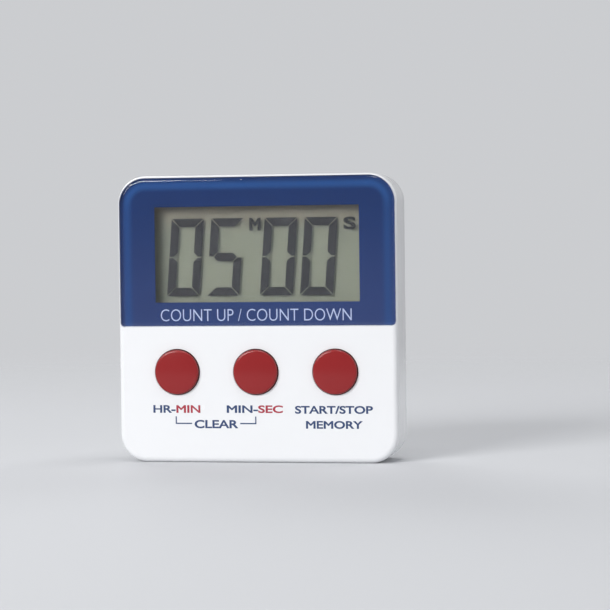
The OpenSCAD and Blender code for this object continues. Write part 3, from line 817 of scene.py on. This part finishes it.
def inside(name, inset, y0, y1, top=None):
    """A block that is smaller than the case by an inset all round, or flat on top at a height."""
    low = (case_low.x + inset, y0, case_low.z + inset)
    high = (case_high.x - inset, y1, case_high.z - inset if top is None else top)
    inner_r = corner_r - inset
    return rounded_block(name, low, high, (0 if top else inner_r, inner_r))


cut(shell, inside("deep_hollow", wall, face_y + wall, parting_y + over, shelf_z))
cut(shell, inside("flat_hollow", wall, display_wall_y, parting_y + over))
cut(shell, inside("rebate", wall / 2, parting_y - rebate_depth, parting_y + over))
print("front shell faces:", len(shell.data.polygons))

# %% Front shell: screw posts and the rings that guide the buttons
cap_r, flange_reach = 5.1, 0.6
button_z = cap_low.z + cap_r + flange_reach
screws = [(side * 28.2, end * 28.2) for side in (-1, 1) for end in (-1, 1)]
post_r, pilot_r, post_end_y = 2, 0.9, parting_y + 0.1
bore_r, collar_r, collar_end_y, collar_flat_z = 6.05, 6.7, -11.4, -18.1
key_half, key_play = 0.9, 0.2
sunk = 0.01       # how far an added part starts inside what it stands on
inner_y = face_y + wall - sunk
add(shell, *(rod("post", inner_y, post_end_y, post_r, x, z, 48) for x, z in screws))
past, reach = collar_end_y + over, collar_r + over
slot = key_half + key_play
for x in button_at.values():
    collar = rod("collar", inner_y, collar_end_y, collar_r, x, button_z)
    cut(collar, rod("bore", face_y, past, bore_r, x, button_z))
    cut(collar, block("flat", (x - reach, face_y, button_z - reach),
                      (x + reach, past, collar_flat_z)))
    cut(collar, block("notch", (x - slot, face_y, button_z), (x + slot, past, button_z + reach)))
    add(shell, collar)
print("front shell faces:", len(shell.data.polygons))

# %% Front shell: openings, seam and finish
cap_play, lens_gap = 0.22, 0.1
recess_corners = (corner_r - 0.4, 1.0)
recess_y = box_mm("lens_tape")[1].y
pilot_end_y = -10.4
recess = rounded_block(
    "recess", (lens_low.x - lens_gap, face_y - over, lens_low.z - lens_gap),
    (lens_high.x + lens_gap, recess_y, lens_high.z + lens_gap), recess_corners, 20)
holes = [rod("hole", face_y - over, face_y + wall + over, cap_r + cap_play, x, button_z)
         for x in button_at.values()]
pilots = [rod("pilot", pilot_end_y, parting_y + over, pilot_r, x, z, 32) for x, z in screws]
cut(shell, recess, *holes, *pilots)
window_low, window_high = (-23.8, 3.85), (23.8, 25.75)
window_lip = 0.6
cut(shell, block(
    "window", (window_low[0] - window_lip, recess_y - over, window_low[1] - window_lip),
    (window_high[0] + window_lip, display_wall_y + over, window_high[1] + window_lip)))
seam_width, seam_depth = 0.2, 0.25
seam = inside("seam", -over, parting_y - seam_width, parting_y + over)
cut(seam, inside("seam_core", seam_depth, parting_y - over, parting_y + 2 * over))
cut(shell, seam)
break_edges(shell, 0.12, 3)
smooth(shell)
fit(shell, "front_case", white_shell)
print("front shell faces:", len(shell.data.polygons))

# %% [markdown]
# ## The lens
# The lens is a thick clear plate with a softly rounded rim, large corners above and nearly square
# ones below. The rim is what catches the light, so it is made of many narrow facets and shaded
# smooth.

# %% Lens
lens_corners = (corner_r - 0.5, 0.9)
lens_rim_r = 0.8
back_edge_r = 0.06
lens = rounded_block("lens", lens_low, lens_high, lens_corners, 20)
bevel(lens, lens_rim_r, 10, at_depth(lens_low.y))
bevel(lens, back_edge_r, 2, at_depth(lens_high.y))
smooth(lens)
fit(lens, "display_lens", clear_lens)
print("lens faces:", len(lens.data.polygons))

# %% [markdown]
# ## The blue print behind the lens
# The colour is printed on the lens's back face. Its front lies a few hundredths of a millimetre
# inside the lens, so there is no air between them and the colour looks wet and deep. The window is
# left unprinted.

# %% Blue mask with its window
ink_bite = 0.03
mask_corners = (corner_r - 0.55, 0.8)
print_y = mask_low.y - ink_bite
mask = rounded_block("lens_print", (mask_low.x, print_y, mask_low.z), mask_high, mask_corners)
cut(mask, block("window", (window_low[0], mask_low.y - over, window_low[1]),
                (window_high[0], mask_high.y + over, window_high[1])))
smooth(mask)
fit(mask, "lens_mask", blue_print)
print("mask faces:", len(mask.data.polygons))

# %% [markdown]
# ## Buttons
# Each cap is turned: a slightly crowned face, a rounded rim, a straight side, a flange that keeps
# it in the case, and a hollow back with a stem that presses the dome. A small key on the flange
# stops it from turning. One cap is made and copied to the three places, each copy with its own
# mesh.

# %% Turn a part, copy a part
def turned(name, rings, z, sides):
    """A round part: a disc whose face is drawn out and resized ring by ring.
    Rings are (radius, y) in mm, round a line along y at height z."""
    deselect()
    radius, y = rings[0]
    bpy.ops.mesh.primitive_circle_add(
        vertices=sides, radius=radius * mm, fill_type="NGON",
        location=(0, y * mm, z * mm), rotation=(math.pi / 2, 0, 0))
    piece = named(name)
    edit_all()
    bpy.ops.mesh.select_mode(type="FACE")
    for next_radius, next_y in rings[1:]:
        step = (0, (next_y - y) * mm, 0)
        bpy.ops.mesh.extrude_region_move(TRANSFORM_OT_translate={"value": step})
        grow = next_radius / radius
        bpy.ops.transform.resize(
            value=(grow, 1, grow), center_override=(0, next_y * mm, z * mm))
        radius, y = next_radius, next_y
    bpy.ops.mesh.select_all(action="SELECT")
    bpy.ops.mesh.remove_doubles(threshold=0.001 * mm)
    bpy.ops.mesh.normals_make_consistent(inside=False)
    object_mode()
    return piece


def place_copy(pattern, name, x=0):
    """A copy of a piece with its own mesh, moved along x by a distance in mm."""
    piece = pattern.copy()
    piece.data = pattern.data.copy()
    piece.name = piece.data.name = name
    bpy.context.scene.collection.objects.link(piece)
    piece.data.transform(Matrix.Translation((x * mm, 0, 0)))
    return piece


print("turning and copying ready")

# %% Three red caps
rim = 0.5
crown = 0.22
flange_play, flange_t = 0.05, 0.8
flange_y = (face_y + wall + flange_play, face_y + wall + flange_play + flange_t)
flange_r = cap_r + flange_reach
hollow_r, stem_r = 4.3, 2.2
roof_y, stem_end_y = face_y + 0.2, -11.4
crown_r = cap_r - rim
crown_rings = [(r, cap_low.y + crown * (r / crown_r) ** 2)
               for r in (0.4, 1.2, 2, 2.8, 3.6, 4.2, crown_r)]
rim_rings = [(crown_r + rim * math.sin(a), cap_low.y + crown + rim * (1 - math.cos(a)))
             for a in (math.radians(degrees) for degrees in range(10, 100, 10))]
back_rings = [(cap_r, flange_y[0]), (flange_r, flange_y[0]), (flange_r, flange_y[1]),
              (hollow_r, flange_y[1]), (hollow_r, roof_y), (stem_r, roof_y), (stem_r, stem_end_y)]
cap = turned("cap_pattern", crown_rings + rim_rings + back_rings, button_z, 128)
add(cap, block("key", (-key_half, flange_y[0], button_z + cap_r),
               (key_half, flange_y[1], cap_high.z)))
smooth(cap, 40)
for node, x in button_at.items():
    fit(place_copy(cap, node.replace("button", "cap"), x), node, cap_red)
bpy.data.objects.remove(cap)
print("caps made:", len(button_at))

# %% [markdown]
# ## The digits
# A seven-segment digit is seven bars with mitred ends. They aren't printed: they are cells of
# liquid crystal between the two glasses, so they stand in front of the reflector and throw a soft
# shadow on it. Each bar is an outline of a few corners, given a hair of thickness, and each digit
# leans a few degrees.

# %% Seven segments
digit_w, digit_h, bar = 7.65, 17.8, 1.9
digit_z = 14.175
digit_x = (-17.2, -7.8, 4.7, 14.05)
lean = 0.075
gap = 0.16
glass_back_y = box_mm("front_glass")[1].y
crystal_y = (glass_back_y - 0.03, glass_back_y + 0.03)


def outline(name, corners, y0, y1):
    """A flat outline of (x, z) corners, in mm, drawn out between two depths."""
    deselect()
    bpy.ops.mesh.primitive_circle_add(vertices=len(corners), radius=mm, fill_type="NGON")
    piece = bpy.context.object
    piece.name = piece.data.name = name
    for point, (x, z) in zip(piece.data.vertices, corners):
        point.co = (x * mm, y0 * mm, z * mm)
    edit_all()
    bpy.ops.mesh.extrude_region_move(TRANSFORM_OT_translate={"value": (0, (y1 - y0) * mm, 0)})
    bpy.ops.mesh.select_all(action="SELECT")
    bpy.ops.mesh.normals_make_consistent(inside=False)
    object_mode()
    return piece


half_w, half_h, slope = digit_w / 2, digit_h / 2, bar / 2
flat = half_w - bar - gap
top_bar = [(-half_w + gap, half_h), (half_w - gap, half_h), (flat, half_h - bar),
           (-flat, half_h - bar)]
upper_left = [(-half_w, half_h - gap), (-half_w, gap), (-half_w + slope, gap),
              (-half_w + bar, gap + slope), (-half_w + bar, half_h - bar - gap)]
middle_bar = [(-half_w + slope + gap, 0), (-flat, slope), (flat, slope),
              (half_w - slope - gap, 0), (flat, -slope), (-flat, -slope)]
segments = {
    "top": top_bar,
    "bottom": [(x, -z) for x, z in top_bar],
    "upper_left": upper_left,
    "upper_right": [(-x, z) for x, z in upper_left],
    "lower_left": [(x, -z) for x, z in upper_left],
    "lower_right": [(-x, -z) for x, z in upper_left],
    "middle": middle_bar,
}
print("segments:", list(segments))

# %% Four digits
shown = {"0": [part for part in segments if part != "middle"],
         "5": ["top", "upper_left", "middle", "lower_right", "bottom"]}
figures = {}
for figure, parts in shown.items():
    figures[figure] = merge([
        outline("bar", [(x + lean * z, digit_z + z) for x, z in segments[part]], *crystal_y)
        for part in parts])
for place, (figure, x) in enumerate(zip("0500", digit_x), 1):
    digit = place_copy(figures[figure], f"digit_{place}", x)
    fit(digit, "front_glass", segment_black, stands_for=False)
for pattern in figures.values():
    bpy.data.objects.remove(pattern)
print("digits:", len(digit_x))

# %% [markdown]
# ## Lettering
# The words are pad-printed. Blender's own font is set as a text object, made a mesh, and then drawn
# to the width and height that the print has. The ink is a few hundredths of a millimetre thick and
# sits in the surface. Words in two colours are one text that is split between two letters.

# %% Set words and split them
def lettering(name, words, x0, x1, z0, z1, y0, y1, weight):
    """Words that start at x0 and end at x1, from z0 up to z1 and between two depths, in mm.
    The weight makes the strokes bolder, or finer where it is negative. It is a share of the
    letters' own size. Words whose x1 is below their x0 are read from behind."""
    deselect()
    bpy.ops.object.text_add()
    piece = bpy.context.object
    piece.data.body = words
    piece.data.extrude = 0.5
    piece.data.resolution_u = 5
    bpy.ops.object.convert(target="MESH")
    piece = bpy.context.object
    edit_all()
    bpy.ops.mesh.remove_doubles(threshold=1e-5)
    bpy.ops.transform.shrink_fatten(value=weight, use_even_offset=True)
    object_mode()
    xs = [v.co.x for v in piece.data.vertices]
    ys = [v.co.y for v in piece.data.vertices]
    across = (x1 - x0) / (max(xs) - min(xs)) * mm
    high = (z1 - z0) / (max(ys) - min(ys)) * mm
    piece.data.transform(Matrix.Translation((-min(xs), -min(ys), 0)))
    piece.scale = (abs(across), high, (y1 - y0) * mm)
    piece.rotation_euler = (math.pi / 2, 0, 0 if across > 0 else math.pi)
    piece.location = (x0 * mm, (y0 + y1) / 2 * mm, z0 * mm)
    return named(name)


def split_words(piece, x, name):
    """Takes the letters to the right of x off into a piece of their own."""
    before = set(bpy.data.objects)
    choose(piece, "FACE", lambda points: all(p.x > x for p in points))
    bpy.ops.mesh.separate(type="SELECTED")
    object_mode()
    other = (set(bpy.data.objects) - before).pop()
    other.name = other.data.name = name
    return other


print("lettering ready")

# %% Words on the case
ink_y = (face_y - 0.015, face_y + 0.02)
bold = 0.03
setting_z = (-21.5, -19.72)
hour_words = lettering("print_hour", "HR-MIN", -24.5, -13.4, *setting_z, *ink_y, bold)
hour_units = split_words(hour_words, -19.35, "print_hour_minutes")
minute_words = lettering("print_minute", "MIN-SEC", -7.2, 5.9, *setting_z, *ink_y, bold)
minute_units = split_words(minute_words, -0.3, "print_minute_seconds")
for units in (hour_units, minute_units):
    fit(units, "front_case", red_ink, stands_for=False)
navy_words = [
    hour_words,
    minute_words,
    lettering("print_start", "START/STOP", 8.7, 26.65, -21.64, -19.82, *ink_y, bold),
    lettering("print_memory", "MEMORY", 11.2, 24.3, -25.05, -23.24, *ink_y, bold),
    lettering("print_clear", "CLEAR", -14.8, -4.52, -25.03, -23.1, *ink_y, bold),
]
for words in navy_words:
    fit(words, "front_case", navy_ink, stands_for=False)
print("navy words on the case:", len(navy_words))

# %% Words on the lens, signs in the display
lens_ink_y = (print_y - 0.03, print_y + 0.01)
lens_words = lettering("print_lens", "COUNT UP / COUNT DOWN", -22.6, 21.9, -0.45, 2.3,
                       *lens_ink_y, -0.012)
fit(lens_words, "lens_mask", pale_ink, stands_for=False)
for name, letter, x0, x1, weight in (
    ("sign_minutes", "M", -2.08, 0.6, 0.06),
    ("sign_seconds", "S", 19.8, 22.7, 0.04),
):
    sign = lettering(name, letter, x0, x1, 20.15, 23.1, *crystal_y, weight)
    fit(sign, "front_glass", segment_black, stands_for=False)
print("words on the lens and signs done")

# %% Words beside the mode switch, read from behind
back_words_y = (back_y - 0.02, back_y + 0.015)
mode_words_h = 1.3
for name, words, z in (
    ("print_mode_hours", "HR-MIN", 9.4),
    ("print_mode_seconds", "MIN-SEC", -2.6),
):
    mode_words = lettering(name, words, 28.9, 19.7, z, z + mode_words_h, *back_words_y, 0.02)
    fit(mode_words, "rear_case", navy_ink, stands_for=False)
print("words on the back done")

# %% Brackets that join the two setting buttons to CLEAR
bracket_t = 0.28
bottom, top = -24.05, -22.3
line_top = bottom + bracket_t
for name, outer, inner in (("bracket_left", -19.26, -15.4), ("bracket_right", -0.3, -4.1)):
    corner = outer + math.copysign(bracket_t, inner - outer)
    shape = [(outer, top), (outer, bottom), (inner, bottom), (inner, line_top),
             (corner, line_top), (corner, top)]
    fit(outline(name, shape, *ink_y), "front_case", navy_ink, stands_for=False)
print("brackets done")

# %% [markdown]
# ## The other parts
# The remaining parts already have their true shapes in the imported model, which is all triangles and
# sharp edges. Each is copied, its triangles are merged back into whole faces, its hard edges are
# broken by an amount that suits its size, and it gets its own finish. Films, contacts and wires are
# too thin or already round, so their edges stay.

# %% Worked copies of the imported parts
same_point, flat_angle = 0.002, 0.5


def worked_copy(node, width):
    """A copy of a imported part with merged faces, broken edges and smooth shading."""
    piece = place_copy(frame["nodes"][node], node + "_made")
    piece.parent = None
    for key in list(piece.keys()):
        del piece[key]
    activate(piece)
    edit_all()
    if piece.data.has_custom_normals:
        bpy.ops.mesh.customdata_custom_splitnormals_clear()
    bpy.ops.mesh.remove_doubles(threshold=same_point * mm)
    bpy.ops.mesh.dissolve_limited(angle_limit=math.radians(flat_angle))
    object_mode()
    if width:
        break_edges(piece, width)
    return smooth(piece)


print("worked copies ready")

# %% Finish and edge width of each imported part
finish_of = {
    "white_case": white_shell, "stand": stand_white, "magnet": magnet_grey,
    "polariser": polariser_film, "display_glass": display_glass, "reflector": reflector_foil,
    "frame_plastic": frame_white, "elastomer": zebra_rubber, "board": board_green,
    "epoxy": epoxy_black, "chip_parts": part_black, "ceramic": ceramic_tan,
    "crystal_can": can_nickel, "coil": copper_coil, "carbon": carbon_black, "gold_pad": gold_pad,
    "switch_metal": switch_tin, "knob": knob_black, "sounder_brass": brass,
    "sounder_white": sounder_white, "red_wire": wire_red, "black_wire": wire_black,
    "cell_label": sleeve, "plated_steel": plated_steel, "screw_steel": screw_steel,
    "tape": tape_grey,
}
break_width = {"stand": 0.3}
for width, nodes in (
    (0.12, ("rear_case", "battery_door", "magnet")),
    (0.04, ("case_screws", "board_screws")),
    (0.03, ("front_glass", "rear_glass", "sounder_plate", "sounder_ceramic")),
    (0, ("front_polariser", "reflector", "lens_tape", "key_contacts", "battery_spring",
         "sounder_lead_red", "sounder_lead_black", "battery_lead_red", "battery_lead_black")),
):
    for node in nodes:
        break_width[node] = width
usual_break = 0.08
for node in sorted(frame["nodes"]):
    if frame["nodes"][node].hide_render or node == "keypad":
        continue
    piece = worked_copy(node, break_width.get(node, usual_break))
    fit(piece, node, finish_of[slot_of[node]])

# %% [markdown]
# ## The keypad
# The keypad is one silicone moulding, a flat sheet with a dome under each button. A pressed dome
# buckles, so the sheet and the three domes are separate pieces, each dome with its own mesh.

# %% Sheet and domes
keypad_low, keypad_high = box_mm("keypad")
sheet_y = -9.8
dome_r, dome_inner_r = 4.4, 3.6
dome_top_r, dome_edge = 2.7, 0.12
shoulder_r, shoulder_y = 2.9, -10.9
ceiling_r, ceiling_y = 2.3, -10.5
screw_x, screw_clear_r = 9.2, 2.3
hole_y = (sheet_y - over, keypad_high.y + over)
dome_flat_r = 2.55
inner_wall_y = sheet_y + 0.1
dome_hole_r = dome_r - 0.05
dome_rings = [(dome_flat_r, keypad_low.y), (dome_top_r, keypad_low.y + dome_edge),
              (shoulder_r, shoulder_y), (dome_r, sheet_y), (dome_r, keypad_high.y),
              (dome_inner_r, keypad_high.y), (dome_inner_r, inner_wall_y), (ceiling_r, ceiling_y)]
sheet = block("keypad_sheet", (keypad_low.x, sheet_y, keypad_low.z), keypad_high)
bevel(sheet, 1.0, 6, along_y)
dome_holes = [rod("dome_hole", *hole_y, dome_hole_r, x, button_z) for x in button_at.values()]
screw_holes = [rod("screw_hole", *hole_y, screw_clear_r, x, button_z, 48)
               for x in (-screw_x, screw_x)]
cut(sheet, *dome_holes, *screw_holes)
fit(smooth(sheet), "keypad", silicone)
dome_pattern = smooth(turned("dome_pattern", dome_rings, button_z, 64), 50)
for node, x in button_at.items():
    dome = fit(place_copy(dome_pattern, node.replace("button", "dome"), x), "keypad", silicone)
    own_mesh(dome)
bpy.data.objects.remove(dome_pattern)
print("keypad made")

# %% [markdown]
# ## The floor
# The timer stands on the lower edge of its case. The floor is one big disc that is solid near the
# timer and fades into the room with distance.

# %% Floor
deselect()
bpy.ops.mesh.primitive_circle_add(
    vertices=96, radius=3.0, fill_type="NGON", location=(0, 0, foot_z * mm))
floor = named("floor")
solid_to, gone_at = 0.12, 0.55
floor_paint, floor_tree, floor_shader = material(
    "floor_paint", base_color=(0.62, 0.63, 0.65, 1), roughness=0.8, specular_ior_level=0.08)
away = calculate(floor_tree, "V_LENGTH", own_place(floor_tree))
fade = spread(floor_tree, away, solid_to, gone_at, 1, 0)
floor_tree.links.new(fade, floor_shader.inputs["Alpha"])
floor.data.materials.append(floor_paint)
print("floor at z", round(foot_z, 1), "mm")
